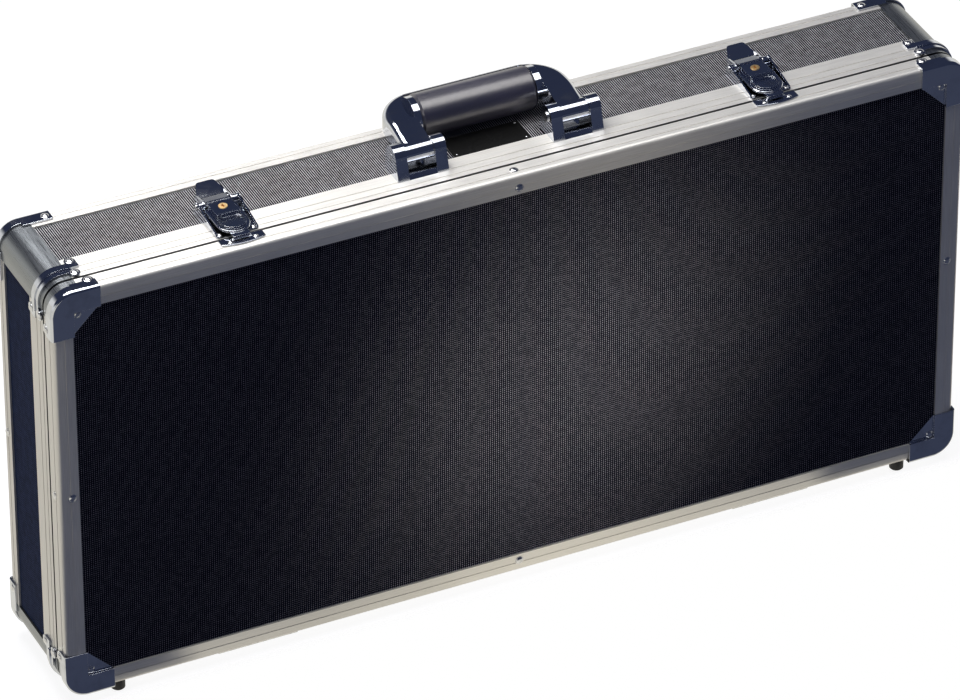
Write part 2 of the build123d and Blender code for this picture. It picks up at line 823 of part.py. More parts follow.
def latch_lever(x, name):
    """Thumb lever: a flap that rises to the rear, two cheeks on the ears, and two bosses."""
    link = (link_depth, link_height, cheek_radius)
    root = (
        flap_front + flap_root_length, flap_front_height + flap_thickness / 2 + flap_root_radius,
        flap_root_radius)
    boss_end = base_inner - latch_gap
    with BuildPart() as lever:
        with BuildSketch(across(x)):
            with BuildLine():
                Polyline(
                    (flap_front, flap_front_height), (flap_back, flap_back_height),
                    (flap_back, flap_back_height + flap_thickness),
                    (flap_front, flap_front_height + flap_thickness), close=True)
            make_face()
        extrude(amount=cheek_outer, both=True)
        with BuildSketch(above(x)) as plan:
            shoulder = flap_front + flap_shoulder
            with BuildLine():
                Polyline(
                    (-cheek_outer, flap_front), (cheek_outer, flap_front), (cheek_outer, shoulder),
                    (flap_tip_half, flap_back), (-flap_tip_half, flap_back),
                    (-cheek_outer, shoulder), close=True)
            make_face()
            fillet(plan.vertices().group_by(Axis.Y)[-1], flap_rounding)
        extrude(amount=2 * platform_top, mode=Mode.INTERSECT)
        for direction in (-1, 1):
            with BuildSketch(across(x + direction * cheek_inner)):
                hull_of((ear_depth, ear_height, cheek_radius), link)
            extrude(amount=direction * (cheek_outer - cheek_inner))
            with BuildSketch(across(x + direction * cheek_inner)):
                hull_of(link, root)
            extrude(amount=direction * (cheek_outer - cheek_inner))
            with BuildSketch(across(x + direction * cheek_outer)):
                with Locations((ear_depth, ear_height)):
                    Circle(boss_radius)
            extrude(amount=direction * (boss_end - cheek_outer))
        with BuildSketch(across(x)):
            with Locations((ear_depth, ear_height)):
                Circle(stub_radius + running_gap)
            with Locations((link_depth, link_height)):
                Circle(link_pin_radius + running_gap)
        extrude(amount=base_width, both=True, mode=Mode.SUBTRACT)
    save(lever.part, name)


def latch_link_pin(x, name):
    """Pin through the lever's cheeks that carries the hasp."""
    with BuildPart() as pin:
        with BuildSketch(across(x)):
            with Locations((link_depth, link_height)):
                Circle(link_pin_radius)
        extrude(amount=cheek_outer, both=True)
    save(pin.part, name)


def scoop_plan(radius):
    """D-shaped outline in front of the platform, concentric with the shield's nose."""
    with Locations((0, shield_nose)):
        Circle(radius)
    with Locations((0, platform_front + radius)):
        Rectangle(3 * radius, 2 * radius, mode=Mode.SUBTRACT)


def latch_hasp(x, name):
    """Shield-shaped hasp: hook at the front, lock platform, and a neck back to its pin."""
    shield_top = shield_bottom + shield_thickness
    with BuildPart() as hasp:
        with BuildSketch(above(x, shield_bottom)):
            with Locations((0, shield_nose)):
                Circle(shield_half)
            with Locations((0, (shield_nose + shield_back) / 2)):
                Rectangle(2 * shield_half, shield_back - shield_nose)
        extrude(amount=shield_thickness)
        chamfer(hasp.edges().group_by(Axis.Z)[-1], shield_chamfer)
        with BuildSketch(above(x, hook_bottom)) as hook:
            with Locations((0, (hook_front + shield_nose) / 2)):
                Rectangle(2 * hook_half, shield_nose - hook_front)
            fillet(hook.vertices().group_by(Axis.Y)[0], hook_rounding)
        extrude(amount=shield_thickness)
        with BuildSketch(across(x)):
            hull_of(
                (link_depth, link_height, link_radius),
                (platform_back - neck_radius, platform_top - neck_radius, neck_radius))
        extrude(amount=platform_half, both=True)
        with BuildSketch(across(x)):
            with Locations(((platform_front + platform_back) / 2, (shield_bottom + platform_top) / 2)):
                Rectangle(platform_back - platform_front, platform_top - shield_bottom)
        extrude(amount=platform_half, both=True)
        with BuildSketch(above(x, shield_top)):
            scoop_plan(scoop_radius)
        extrude(amount=scoop_height)
        with BuildSketch(above(x, shield_top + scoop_floor)):
            scoop_plan(scoop_radius - scoop_rim)
        extrude(amount=scoop_height, mode=Mode.SUBTRACT)
        for depth in (platform_front + bar_width / 2, platform_back - bar_width / 2):
            with BuildSketch(above(x, platform_top)):
                with Locations((0, depth)):
                    Rectangle(2 * platform_half, bar_width)
            extrude(amount=bar_height)
        with BuildSketch(across(x)):
            with Locations((link_depth, link_height)):
                Circle(link_pin_radius + running_gap)
        extrude(amount=platform_half, both=True, mode=Mode.SUBTRACT)
        with BuildSketch(above(x)):
            with Locations((0, lock_depth)):
                Circle(lock_radius + running_gap)
        extrude(amount=2 * platform_top, mode=Mode.SUBTRACT)
    save(hasp.part, name)


def latch_lock(x, name):
    """Key lock cylinder with its slot above and its cam below the hasp."""
    with BuildPart() as lock:
        with BuildSketch(above(x, lock_bottom)):
            with Locations((0, lock_depth)):
                Circle(lock_radius)
        extrude(amount=platform_top + lock_proud - lock_bottom)
        with BuildSketch(above(x, lock_bottom - cam_thickness)):
            with Locations((0, lock_depth)):
                Circle(lock_radius)
            with Locations((cam_length / 2, lock_depth)):
                SlotOverall(cam_length, cam_width)
        extrude(amount=cam_thickness)
        with BuildSketch(above(x, platform_top + lock_proud - key_slot_depth)):
            with Locations((0, lock_depth)):
                Rectangle(key_slot_width, key_slot_length)
                Circle(key_slot_width)
        extrude(amount=key_slot_depth, mode=Mode.SUBTRACT)
    save(lock.part, name)


def latch_catch(x, name):
    """Catch plate riveted to the lid, with the ridge that the hook reaches over."""
    with BuildPart() as catch:
        with BuildSketch(above(x)):
            with BuildLine():
                Line((-catch_half, catch_end_front), (-catch_half, catch_back))
                Line((-catch_half, catch_back), (catch_half, catch_back))
                Line((catch_half, catch_back), (catch_half, catch_end_front))
                ThreePointArc(
                    (catch_half, catch_end_front), (0, catch_mid_front),
                    (-catch_half, catch_end_front))
            make_face()
        extrude(amount=catch_plate)
        with BuildSketch(above(x, catch_plate)):
            with Locations((0, catch_ridge_front + catch_ridge_width / 2)):
                Rectangle(2 * catch_ridge_half, catch_ridge_width)
        extrude(amount=catch_ridge_height, taper=catch_ridge_taper)
    save(catch.part, name)


def ear_profile(shrink):
    """Side outline of a bracket ear: a straight foot and a round top about the pivot."""
    with Locations((pivot_depth, pivot_height)):
        Circle(bracket_ear_radius - shrink)
    width = bracket_foot_back - bracket_foot_front - 2 * shrink
    with Locations(((bracket_foot_front + bracket_foot_back) / 2, bracket_foot_edge / 2)):
        Rectangle(width, bracket_foot_edge)
    make_hull()


def handle_bracket(x, name, inward):
    """Hollow clevis for one end of the handle: two ears, a front bar and a floor plate."""
    ear_width = (bracket_width - notch_width) / 2
    skirt_front = rim_back + joint_gap
    foot_middle = (bracket_foot_front + bracket_foot_back) / 2
    bar_back = bracket_foot_front + bracket_bar_depth
    with BuildPart() as bracket:
        for start in (-bracket_width / 2, notch_width / 2):
            with BuildSketch(across(x + start)):
                ear_profile(0)
            extrude(amount=ear_width)
            with BuildSketch(across(x + start)):
                with Locations(((skirt_front + bracket_foot_back) / 2, 0)):
                    Rectangle(bracket_foot_back - skirt_front, 2 * skin)
            extrude(amount=ear_width)
            with BuildSketch(across(x + start + bracket_sheet)):
                ear_profile(bracket_sheet)
                with Locations((foot_middle, 0)):
                    Rectangle(2 * (foot_middle - bracket_foot_front - bracket_sheet), 4 * skin)
            extrude(amount=ear_width - 2 * bracket_sheet, mode=Mode.SUBTRACT)
        with BuildSketch(across(x)):
            with BuildLine():
                Polyline(
                    (bracket_foot_front, 0), (bracket_foot_back, 0),
                    (bracket_foot_back, bracket_sheet), (bar_back, bracket_sheet),
                    (bar_back, bracket_bar_height),
                    (bracket_foot_front + bracket_bar_lean, bracket_bar_height), close=True)
            make_face()
        extrude(amount=notch_width / 2, both=True)
        with BuildSketch(across(x)):
            with Locations((pivot_depth, pivot_height)):
                Circle(pivot_pin_radius + slot_gap / 2)
        extrude(amount=bracket_width, both=True, mode=Mode.SUBTRACT)
    save(bracket.part, name)
    pin_half = bracket_width / 2 + slot_gap
    with BuildPart() as pin:
        with BuildSketch(across(x)):
            with Locations((pivot_depth, pivot_height)):
                Circle(pivot_pin_radius)
        extrude(amount=pin_half, both=True)
        with BuildSketch(across(x + inward * pin_half)):
            with Locations((pivot_depth, pivot_height)):
                Circle(pivot_head_radius)
        extrude(amount=inward * pivot_head)
    return pin.part


def bow_plan():
    """Plan of the whole bow: a straight back, large corners and arms to the two barrels."""
    turn = bow_back - bow_corner_radius
    with BuildSketch() as plan:
        with BuildLine():
            Line((0, bow_back), (arm_outer - bow_corner_radius, bow_back))
            CenterArc((arm_outer - bow_corner_radius, turn), bow_corner_radius, 0, 90)
            Polyline((arm_outer, turn), (arm_outer, pivot_depth), (0, pivot_depth), (0, bow_back))
        make_face()
        mirror(about=Plane.YZ)
    return plan.sketch


def bow_window():
    """Plan of the opening between the arms, narrower where the back plate meets the grip."""
    with BuildSketch() as window:
        with BuildLine():
            Polyline(
                (0, spine_front), (grip_seat + plate_reach, spine_front),
                (grip_seat + plate_reach, grip_depth + plate_step), (arm_inner, grip_depth),
                (arm_inner, 0), (0, 0), (0, spine_front))
        make_face()
        mirror(about=Plane.YZ)
    return window.sketch


def handle_bow():
    """Chrome bow: flat back plate and arms with rounded edges, barrels and grip collars."""
    plan = bow_plan()
    window = bow_window()
    with BuildPart() as bow:
        with BuildSketch(across(0)) as profile:
            with BuildLine():
                Polyline(
                    (pivot_depth, pivot_height + arm_root), (arm_bend_depth, bow_top),
                    (bow_back, bow_top), (bow_back, bow_bottom), (arm_bend_depth, arm_bend_bottom),
                    (pivot_depth, pivot_height - arm_root), close=True)
            make_face()
            fillet(profile.vertices().sort_by_distance((arm_bend_depth, bow_top))[0], arm_bend_radius)
        extrude(amount=arm_outer + skin, both=True)
        with BuildSketch(above(0)):
            add(plan)
        extrude(amount=2 * bow_top, mode=Mode.INTERSECT)
        fillet(outer_top_edges(bow), bow_rounding)
        with BuildSketch(above(0)):
            add(window)
        extrude(amount=2 * bow_top, mode=Mode.SUBTRACT)
        for direction in (-1, 1):
            barrel = across(direction * bracket_spacing / 2)
            with BuildSketch(across(direction * grip_seat)):
                with Locations((grip_depth, grip_height)):
                    Circle(grip_radius - collar_recess)
            extrude(amount=direction * (arm_inner - grip_seat))
            with BuildSketch(barrel):
                with Locations((pivot_depth, pivot_height)):
                    Circle(knuckle_barrel_radius)
            extrude(amount=barrel_half, both=True)
            with BuildSketch(barrel):
                with Locations((pivot_depth, pivot_height)):
                    Circle(pivot_pin_radius + running_gap)
            extrude(amount=bracket_width / 2, both=True, mode=Mode.SUBTRACT)
    save(bow.part, "handle_bow")


def outer_top_edges(bow):
    """Edges that follow the outer outline of the bow along its upper surfaces."""
    def on_outline(edge):
        sideways = abs(edge.center().X)
        behind = edge.center().Y - front
        on_arm = sideways > arm_outer - slot_gap and behind > pivot_depth + slot_gap
        at_back = behind > bow_back - slot_gap
        at_corner = sideways > arm_outer - bow_corner_radius and behind > bow_back - bow_corner_radius
        return on_arm or at_back or at_corner
    upper = [e for e in bow.edges() if e.center().Z - top > bow_bottom + bow_rounding]
    return [e for e in upper if on_outline(e) and abs(e.tangent_at(0.5).Z) < 0.9]


def handle_grip():
    """Round grip between the bow's collars."""
    with BuildPart() as grip:
        with BuildSketch(across(0)):
            with Locations((grip_depth, grip_height)):
                Circle(grip_radius)
        extrude(amount=grip_length / 2, both=True)
        chamfer(grip.edges().filter_by(GeomType.CIRCLE), grip_chamfer)
    save(grip.part, "handle_grip")


for side in sides:
    body_rim(side)
    body_edge(side)
    lid_frame(side)
    body_wall(side)
corner_posts()
lid_corners()
face_panel("back_panel", leg_inner + slot_gap, back_slot_floor + inner_leg + slot_gap, wall_thickness)
face_panel("lid_panel", lid_leg_inner + slot_gap, skin + slot_gap, lid_panel_thickness)
for corner_level, corner_side in corners:
    place = f"{corner_level}_{corner_side}"
    edge_cap(f"lid_cap_{place}", corner_level, corner_side, cap_arm, cap_leg_reach, False)
    edge_cap(f"back_cap_{place}", corner_level, corner_side, back_cap_arm, back_cap_leg_reach, True)
    corner_bracket(corner_level, corner_side)
body_rivets()
lid_rivets()
feet()
hinges()
linings()
name_plate()
lever_stubs()
for hand, latch_x in zip(("left", "right"), latch_centres):
    latch_base(latch_x, f"latch_base_{hand}")
    latch_lever(latch_x, f"latch_lever_{hand}")
    latch_link_pin(latch_x, f"latch_link_pin_{hand}")
    latch_hasp(latch_x, f"latch_hasp_{hand}")
    latch_lock(latch_x, f"latch_lock_{hand}")
    latch_catch(latch_x, f"latch_catch_{hand}")
pivot_pins = [
    handle_bracket(bracket_x, f"handle_bracket_{hand}", inward)
    for hand, bracket_x, inward in zip(("left", "right"), bracket_centres, (1, -1))
]
save(Compound(children=pivot_pins), "handle_pivot_pins")
handle_bow()
handle_grip()
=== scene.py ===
import json
import math

import bmesh
import bpy
from mathutils import Matrix, Vector

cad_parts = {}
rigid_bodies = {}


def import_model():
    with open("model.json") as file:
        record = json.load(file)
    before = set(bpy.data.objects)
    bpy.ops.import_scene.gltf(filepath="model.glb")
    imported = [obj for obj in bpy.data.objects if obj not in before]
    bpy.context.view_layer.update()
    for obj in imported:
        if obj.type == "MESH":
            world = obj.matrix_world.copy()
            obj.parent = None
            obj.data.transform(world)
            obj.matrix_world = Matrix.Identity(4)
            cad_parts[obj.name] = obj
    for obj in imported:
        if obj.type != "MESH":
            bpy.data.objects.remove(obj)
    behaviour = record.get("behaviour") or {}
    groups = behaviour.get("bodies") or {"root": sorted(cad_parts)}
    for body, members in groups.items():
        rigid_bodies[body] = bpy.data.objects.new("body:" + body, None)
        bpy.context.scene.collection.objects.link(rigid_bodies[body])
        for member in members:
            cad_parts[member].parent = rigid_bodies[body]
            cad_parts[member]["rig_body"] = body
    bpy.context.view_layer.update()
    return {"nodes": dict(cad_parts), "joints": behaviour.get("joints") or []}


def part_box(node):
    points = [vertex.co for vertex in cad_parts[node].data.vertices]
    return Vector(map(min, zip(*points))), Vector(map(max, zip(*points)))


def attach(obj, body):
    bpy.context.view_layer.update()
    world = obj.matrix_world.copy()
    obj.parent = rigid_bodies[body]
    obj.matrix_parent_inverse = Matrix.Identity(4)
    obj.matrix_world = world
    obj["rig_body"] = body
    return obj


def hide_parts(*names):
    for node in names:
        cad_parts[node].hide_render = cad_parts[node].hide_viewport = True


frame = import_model()
nodes = frame["nodes"]

# Lengths are in metres, apart from the camera's lens and sensor.

HANDS = ("left", "right")
CORNERS = [f"{level}_{hand}" for level in ("top", "bottom") for hand in HANDS]
# The axis that each side of the case runs along
SIDE_AXIS = {"top": "x", "bottom": "x", "left": "z", "right": "z"}
JOINT_PLACES = {joint["name"]: joint["pos_m"] for joint in frame["joints"]}

# ---------------------------------------------------------------- camera

CAMERA_PLACE = Vector((-1.907963, -4.037044, 3.219088))
CAMERA_FORWARD = Vector((0.35184058, 0.74668011, -0.56451485))
CAMERA_UP = Vector((0.24421970, 0.50896416, 0.82541639))
CAMERA_LENS = 290.52
CAMERA_SENSOR = 36.0
CAMERA_REACH = 60.0


def make_camera():
    """Long lens from the front left and above, as in the photograph."""
    data = bpy.data.cameras.new("camera")
    data.lens = CAMERA_LENS
    data.sensor_width = CAMERA_SENSOR
    data.clip_end = CAMERA_REACH
    camera = bpy.data.objects.new("camera", data)
    bpy.context.scene.collection.objects.link(camera)
    right = CAMERA_FORWARD.cross(CAMERA_UP).normalized()
    up = right.cross(CAMERA_FORWARD).normalized()
    turn = Matrix((right, up, -CAMERA_FORWARD)).transposed().to_4x4()
    camera.matrix_world = Matrix.Translation(CAMERA_PLACE) @ turn
    bpy.context.scene.camera = camera


# ---------------------------------------------------------------- node trees

class Graph:
    """A node tree under construction, with short calls for the nodes used here."""

    def __init__(self, tree):
        self.tree = tree

    def add(self, kind, **settings):
        node = self.tree.nodes.new(kind)
        for key, value in settings.items():
            setattr(node, key, value)
        return node

    def link(self, source, target):
        """Feed a socket from another node, or set it where the source is a number."""
        if isinstance(source, (int, float)):
            target.default_value = source
        else:
            self.tree.links.new(source, target)

    def split(self, vector):
        """The three coordinates of a vector."""
        node = self.add("ShaderNodeSeparateXYZ")
        self.link(vector, node.inputs[0])
        return node.outputs

    def math(self, operation, a, b=0.0):
        node = self.add("ShaderNodeMath", operation=operation)
        self.link(a, node.inputs[0])
        self.link(b, node.inputs[1])
        return node.outputs[0]

    def ramp(self, value, low, high, to_low=0.0, to_high=1.0):
        """An eased step from one number to another while the value goes from low to high."""
        node = self.add("ShaderNodeMapRange", interpolation_type="SMOOTHSTEP")
        self.link(value, node.inputs["Value"])
        for socket, number in (
            ("From Min", low), ("From Max", high), ("To Min", to_low), ("To Max", to_high),
        ):
            node.inputs[socket].default_value = number
        return node.outputs["Result"]

    def mix(self, fac, first, second):
        """A blend of two colours, each given as numbers or by another node."""
        node = self.add("ShaderNodeMix", data_type="RGBA")
        self.link(fac, node.inputs["Factor"])
        for name, colour in (("A", first), ("B", second)):
            socket = next(s for s in node.inputs if s.name == name and s.type == "RGBA")
            if isinstance(colour, tuple):
                socket.default_value = (*colour, 1.0)
            else:
                self.link(colour, socket)
        return next(s for s in node.outputs if s.type == "RGBA")

    def rays(self):
        """Whether the camera looks directly, and whether a reflection or glass does."""
        paths = self.add("ShaderNodeLightPath").outputs
        mirrored = self.math("MAXIMUM", paths["Is Glossy Ray"], paths["Is Transmission Ray"])
        return paths["Is Camera Ray"], mirrored


class Shader(Graph):
    """A material under construction, laid out in the object's own space."""

    def __init__(self, name, **sockets):
        self.material = bpy.data.materials.new(name)
        self.material.use_nodes = True
        super().__init__(self.material.node_tree)
        self.bsdf = self.tree.nodes["Principled BSDF"]
        for socket, value in sockets.items():
            self.bsdf.inputs[socket.replace("_", " ")].default_value = value
        self.place = self.add("ShaderNodeTexCoord").outputs["Object"]
        self.axes = None

    def axis(self, index):
        """One coordinate of the object's space."""
        if self.axes is None:
            self.axes = self.split(self.place)
        return self.axes[index]

    def noise(self, scale, detail, rough, stretch=(1, 1, 1)):
        mapping = self.add("ShaderNodeMapping")
        mapping.inputs["Scale"].default_value = stretch
        self.link(self.place, mapping.inputs["Vector"])
        node = self.add("ShaderNodeTexNoise")
        node.inputs["Scale"].default_value = scale
        node.inputs["Detail"].default_value = detail
        node.inputs["Roughness"].default_value = rough
        self.link(mapping.outputs["Vector"], node.inputs["Vector"])
        return node.outputs["Fac"]

    def wave(self, axis, pitch, shift=0.0):
        """-1 to 1 and back once in every pitch along one axis of the object's space."""
        turns = self.math("MULTIPLY", self.axis(axis), 2 * math.pi / pitch)
        return self.math("SINE", self.math("ADD", turns, shift))

    def bump(self, height, strength, distance):
        node = self.add("ShaderNodeBump")
        node.inputs["Strength"].default_value = strength
        node.inputs["Distance"].default_value = distance
        self.link(height, node.inputs["Height"])
        self.link(node.outputs["Normal"], self.bsdf.inputs["Normal"])

    def colour(self, source):
        self.link(source, self.bsdf.inputs["Base Color"])

    def roughness(self, source):
        self.link(source, self.bsdf.inputs["Roughness"])


# ---------------------------------------------------------------- materials

# The range that most values of a noise lie in
SPAN = (0.3, 0.7)

# The gap behind the lid's profiles, and the painted shade on their edges beside it
PARTING_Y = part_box("lid_frame_top")[1][1]
PARTING_GAP = 0.0020
PARTING_SHADE = (0.010, 0.012, 0.022)

SATIN = (0.90, 0.875, 0.83)
POST_SATIN = (0.27, 0.285, 0.30)
CHROME = (0.62, 0.64, 0.69)
STEEL = (0.72, 0.72, 0.73)

# The laminate's pressed pattern: ribs on the sides, rows and columns of dots on the faces
RIB_PITCH = 0.00160
RIB_GROUND = (0.0020, 0.0026, 0.0055)
DOT_PITCH_ACROSS = 0.00157
DOT_PITCH_UP = 0.00165
DOT_GROUND = (0.0020, 0.0032, 0.0100)
DOT_CREST = (0.38, 0.385, 0.50)
LAMINATE_IOR = 1.07


def darker(colour, share):
    return tuple(c * share for c in colour)


def aluminium(name, run, colour=SATIN, rough=0.42, metallic=0.62):
    """Satin extruded aluminium: fine drawn lines along one axis, rubbed patches, painted shade along
    the parting gap.
    """
    shader = Shader(name, Metallic=metallic)
    lines = shader.noise(40.0, 4.0, 0.6, [1.0 if axis == run else 60.0 for axis in "xyz"])
    rubbed = shader.noise(9.0, 2.0, 0.5)
    tone = shader.math(
        "MULTIPLY", shader.ramp(lines, *SPAN, 0.93, 1.0), shader.ramp(rubbed, *SPAN, 0.96, 1.0))
    satin_tone = shader.mix(shader.ramp(tone, 0.86, 1.0), darker(colour, 0.78), colour)
    # Painted shade: a near-black band on the profiles where they meet the parting gap, standing in for
    # the shade inside the gap.
    middle = PARTING_Y + PARTING_GAP / 2
    from_middle = shader.math("ABSOLUTE", shader.math("SUBTRACT", shader.axis(1), middle))
    gap_shade = shader.ramp(from_middle, PARTING_GAP * 0.45, PARTING_GAP * 0.62, 1.0, 0.0)
    shader.colour(shader.mix(gap_shade, satin_tone, PARTING_SHADE))
    shader.roughness(shader.ramp(lines, 0.25, 0.75, rough - 0.06, rough + 0.08))
    shader.bump(lines, 0.25, 0.00012)
    return shader.material


def chrome(name):
    """Polished plating with a faint unevenness and a few dull smudges."""
    shader = Shader(name, Metallic=1.0)
    smudge = shader.noise(55.0, 4.0, 0.6)
    ripple = shader.noise(420.0, 3.0, 0.6)
    shader.colour(shader.mix(shader.ramp(smudge, 0.45, 0.75), CHROME, darker(CHROME, 0.80)))
    shader.roughness(shader.ramp(smudge, 0.4, 0.8, 0.06, 0.18))
    shader.bump(ripple, 0.10, 0.00006)
    return shader.material


def grained(name, grain, tones, roughness, relief, tone_span=SPAN, **sockets):
    """A plain finish whose tone, roughness and relief all follow one fine grain."""
    shader = Shader(name, **sockets)
    fine = shader.noise(*grain)
    shader.colour(shader.mix(shader.ramp(fine, *tone_span), *tones))
    shader.roughness(shader.ramp(fine, *SPAN, *roughness))
    shader.bump(fine, *relief)
    return shader.material


def foam(name):
    """Soft open-cell foam."""
    shader = Shader(name, Roughness=0.95)
    cells = shader.add("ShaderNodeTexVoronoi")
    cells.inputs["Scale"].default_value = 900.0
    shader.link(shader.place, cells.inputs["Vector"])
    cloud = shader.noise(14.0, 3.0, 0.5)
    pores = shader.ramp(cells.outputs["Distance"], 0.0, 0.7, 0.4, 1.0)
    tone = shader.math("MULTIPLY", pores, shader.ramp(cloud, *SPAN, 0.75, 1.0))
    shader.colour(shader.mix(tone, (0.012, 0.012, 0.014), (0.075, 0.076, 0.082)))
    shader.bump(cells.outputs["Distance"], 0.8, 0.0006)
    return shader.material


def grip_plastic(name):
    """Dark satin grip with a fine leather-like skin."""
    shader = Shader(
        name, IOR=1.85, Specular_IOR_Level=1.0, Specular_Tint=(1.0, 0.97, 0.94, 1.0))
    grain = shader.noise(650.0, 4.0, 0.6)
    cloud = shader.noise(25.0, 2.0, 0.5)
    shader.colour(shader.mix(shader.ramp(cloud, *SPAN), (0.009, 0.009, 0.024), (0.017, 0.016, 0.036)))
    shader.roughness(shader.ramp(grain, *SPAN, 0.28, 0.38))
    shader.bump(grain, 0.15, 0.00006)
    return shader.material


def ribbed_laminate(name, along, crest_colour):
    """Side laminate: pale crests on the ribs, black between them, crossed by fine presses."""
    shader = Shader(name, IOR=LAMINATE_IOR)
    crest = shader.ramp(shader.wave(along, RIB_PITCH, math.pi / 2), 0.0, 0.7)
    cross = shader.ramp(shader.wave(1, RIB_PITCH), -0.9, 0.5, 0.45, 1.0)
    cloud = shader.noise(160.0, 3.0, 0.6)
    tone = shader.math("MULTIPLY", crest, cross)
    tone = shader.math("MULTIPLY", tone, shader.ramp(cloud, *SPAN, 0.65, 1.0))
    shader.colour(shader.mix(tone, RIB_GROUND, crest_colour))
    shader.roughness(shader.ramp(crest, 0.0, 1.0, 0.6, 0.40))
    shader.bump(cross, 0.35, 0.00015)
    return shader.material


def dotted_laminate(name):
    """Face laminate: a close grid of small raised dots, in rows and columns."""
    shader = Shader(name, IOR=LAMINATE_IOR)
    across = shader.ramp(shader.wave(0, DOT_PITCH_ACROSS), -0.1, 0.95)
    up = shader.ramp(shader.wave(2, DOT_PITCH_UP), -0.2, 0.95, 0.02, 1.0)
    dot = shader.math("MULTIPLY", across, up)
    cloud = shader.noise(330.0, 3.0, 0.7)
    tone = shader.math("MULTIPLY", dot, shader.ramp(cloud, 0.35, 0.65, 0.55, 1.0))
    shader.colour(shader.mix(tone, DOT_GROUND, DOT_CREST))
    shader.roughness(shader.ramp(dot, 0.0, 1.0, 0.62, 0.42))
    shader.bump(dot, 0.4, 0.00018)
    return shader.material


finishes = {
    "aluminium_x": aluminium("aluminium_along_x", "x"),
    "aluminium_z": aluminium("aluminium_along_z", "z"),
    "post": aluminium("aluminium_posts", "y", POST_SATIN, rough=0.30, metallic=0.95),
    "chrome": chrome("chrome_plating"),
    "steel": grained(
        "bright_steel", grain=(400.0, 3.0, 0.5), tones=(STEEL, darker(STEEL, 0.8)),
        roughness=(0.12, 0.26), relief=(0.15, 0.00005), tone_span=(0.35, 0.7), Metallic=1.0),
    "brass": grained(
        "lock_brass", grain=(700.0, 3.0, 0.5), tones=((0.95, 0.70, 0.36), (0.74, 0.48, 0.20)),
        roughness=(0.30, 0.45), relief=(0.2, 0.00004), Metallic=1.0),
    "rubber": grained(
        "foot_rubber", grain=(900.0, 4.0, 0.6), tones=((0.010, 0.010, 0.011), (0.024, 0.024, 0.026)),
        roughness=(0.45, 0.7), relief=(0.4, 0.0001)),
    "foam": foam("lining_foam"),
    "grip": grip_plastic("grip_skin"),
    "plate": grained(
        "plate_black", grain=(500.0, 3.0, 0.5), tones=((0.004, 0.004, 0.004), (0.009, 0.009, 0.009)),
        roughness=(0.28, 0.36), relief=(0.05, 0.00003), Specular_IOR_Level=0.25),
    "ribs_x": ribbed_laminate("laminate_ribs_x", 0, (0.66, 0.66, 0.69)),
    # Painted shade: the left and right walls carry the top's laminate with dark navy crests, a shaded
    # copy of it.
    "ribs_z": ribbed_laminate("laminate_ribs_z_painted_shade", 2, (0.11, 0.165, 0.38)),
    "dots": dotted_laminate("laminate_dots"),
}


def dress(obj, finish):
    obj.data.materials.clear()
    obj.data.materials.append(finishes[finish])


# ---------------------------------------------------------------- mesh helpers

# Corners closer than this are one
WELD = 1e-6


def new_piece(name, mesh, body, finish, replaced=()):
    """Link a finished mesh as a piece that rides a body and may stand for CAD nodes."""
    obj = bpy.data.objects.new(name, mesh)
    bpy.context.scene.collection.objects.link(obj)
    dress(obj, finish)
    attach(obj, body)
    if replaced:
        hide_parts(*replaced)
    return obj


def stand_in(node_name, name, mesh, finish):
    """A piece that takes a CAD node's place, on its body."""
    return new_piece(
        name, mesh, nodes[node_name]["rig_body"], finish, (node_name,))


def mesh_of(name, vertices, faces):
    mesh = bpy.data.meshes.new(name)
    mesh.from_pydata(vertices, [], faces)
    mesh.update()
    return mesh


def smooth_by_angle(mesh, degrees=40):
    """Smooth shading across every edge that turns less than this."""
    for polygon in mesh.polygons:
        polygon.use_smooth = True
    mesh.set_sharp_from_angle(angle=math.radians(degrees))


def extent(corners):
    """The lowest and highest coordinates of some corners."""
    low = Vector(tuple(min(c[i] for c in corners) for i in range(3)))
    high = Vector(tuple(max(c[i] for c in corners) for i in range(3)))
    return low, high


def islands(mesh):
    """The separate solids of a mesh, each as a list of its corners."""
    work = bmesh.new()
    work.from_mesh(mesh)
    bmesh.ops.remove_doubles(work, verts=work.verts, dist=WELD)
    left = set(work.verts)
    found = []
    while left:
        reached = [left.pop()]
        for vert in reached:
            for edge in vert.link_edges:
                other = edge.other_vert(vert)
                if other in left:
                    left.remove(other)
                    reached.append(other)
        found.append([v.co.copy() for v in reached])
    work.free()
    return found


# ---------------------------------------------------------------- rounded edges

# Widths of the rounded edges
BRACKET_ROUND = 0.0003
PLATE_ROUND = 0.00025
BOW_ROUND = 0.0004
CAP_ROUND = 0.00035
LOCK_ROUND = 0.0002
LATCH_ROUND = 0.00055
LATCH_SEGMENTS = 3

# Faces that meet at less than the first angle become one, and edges above the second are rounded
FLAT_DEGREES = 0.6
SHARP_DEGREES = 28

# A handle bracket's front sheet: how far it starts before the pivot, and how far its foot leans out
BRACKET_FRONT = 0.0040
BRACKET_LEAN = 0.0045
HANDLE_PIVOT = JOINT_PLACES["handle_hinge"]


